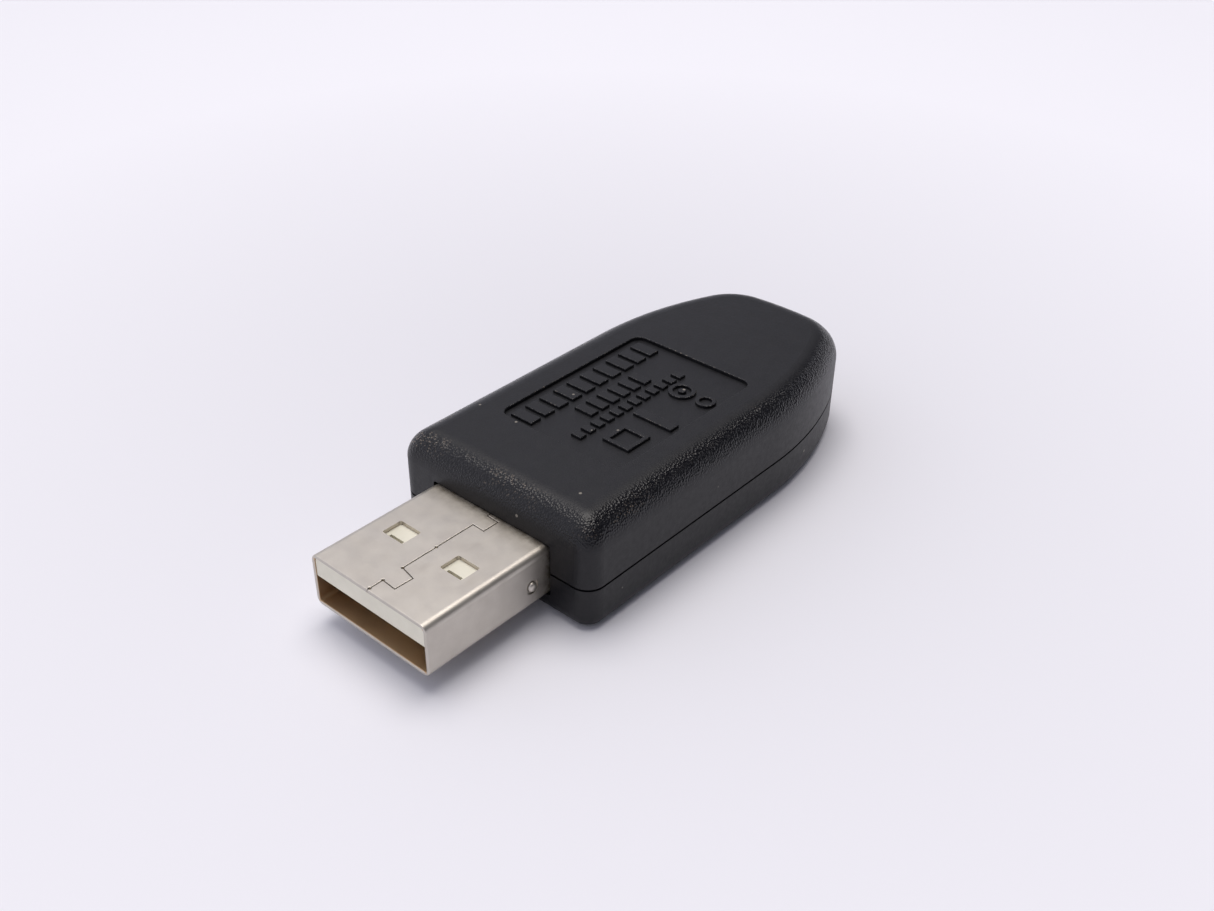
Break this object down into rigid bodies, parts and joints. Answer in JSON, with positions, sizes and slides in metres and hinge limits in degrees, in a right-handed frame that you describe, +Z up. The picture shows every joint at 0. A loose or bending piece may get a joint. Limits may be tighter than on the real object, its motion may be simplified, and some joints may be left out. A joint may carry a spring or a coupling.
{
  "type": "usb adapter dongle",
  "caption": "Black two-shell USB-A adapter dongle with a recessed label panel, rounded nose with a 3.5 mm jack socket and a circuit board inside.",
  "frame": {"origin": "bottom centre of the whole object", "axes": "+Y from the USB plug towards the rounded nose, +Z up through the label side, +X to the right seen from the plug end"},
  "size_m": [0.0198, 0.0502, 0.0093],
  "materials": {
    "black_abs": "fine spark-eroded grain",
    "nickel": "satin nickel plate",
    "cream_plastic": "satin",
    "board": "solder resist over glass laminate",
    "gold_contact": "thin gold plate",
    "solder": "bright solder",
    "black_moulding": "matte",
    "chip_epoxy": "matte epoxy",
    "tinned_lead": "tinned",
    "ceramic_tan": "fired ceramic",
    "ferrite_grey": "matte",
    "tantalum_yellow": "matte",
    "fuse_green": "matte",
    "spring_bronze": "plated phosphor bronze"
  },
  "bodies": {
    "dongle": {"bottom_shell": "black_abs", "ceramic_capacitors": "ceramic_tan", "ceramic_capacitors_terminals": "tinned_lead", "circuit_board": "board", "crystal_can": "nickel", "esd_protection": "chip_epoxy", "esd_protection_leads": "tinned_lead", "ferrite_bead": "ferrite_grey", "ferrite_bead_terminals": "tinned_lead", "jack_body": "black_moulding", "jack_bushing": "nickel", "microcontroller": "chip_epoxy", "microcontroller_leads": "tinned_lead", "polyfuse": "fuse_green", "polyfuse_terminals": "tinned_lead", "resistors": "chip_epoxy", "resistors_terminals": "tinned_lead", "solder_joints": "solder", "tantalum_capacitor": "tantalum_yellow", "tantalum_capacitor_terminals": "tinned_lead", "top_shell": "black_abs", "usb_bridge_chip": "chip_epoxy", "usb_bridge_chip_leads": "tinned_lead", "usb_contact_data_minus": "gold_contact", "usb_contact_data_plus": "gold_contact", "usb_contact_ground": "gold_contact", "usb_contact_vbus": "gold_contact", "usb_insulator": "cream_plastic", "usb_plug_shell": "nickel", "voltage_regulator": "chip_epoxy", "voltage_regulator_leads": "tinned_lead"},
    "jack_tip_contact": {"jack_tip_spring": "spring_bronze"},
    "jack_ring_contact": {"jack_ring_spring": "spring_bronze"}
  },
  "joints": [
    {"name": "jack_tip_flex", "type": "hinge", "parent": "dongle", "child": "jack_tip_contact", "pos_m": [0.0024, 0.018, 0.00374], "axis": [0, 0, 1], "range_deg": [0, 4.5], "stiffness_Nm_per_rad": 0.1},
    {"name": "jack_ring_flex", "type": "hinge", "parent": "dongle", "child": "jack_ring_contact", "pos_m": [-0.0024, 0.0206, 0.00374], "axis": [0, 0, -1], "range_deg": [0, 5.5], "stiffness_Nm_per_rad": 0.1}
  ]
}
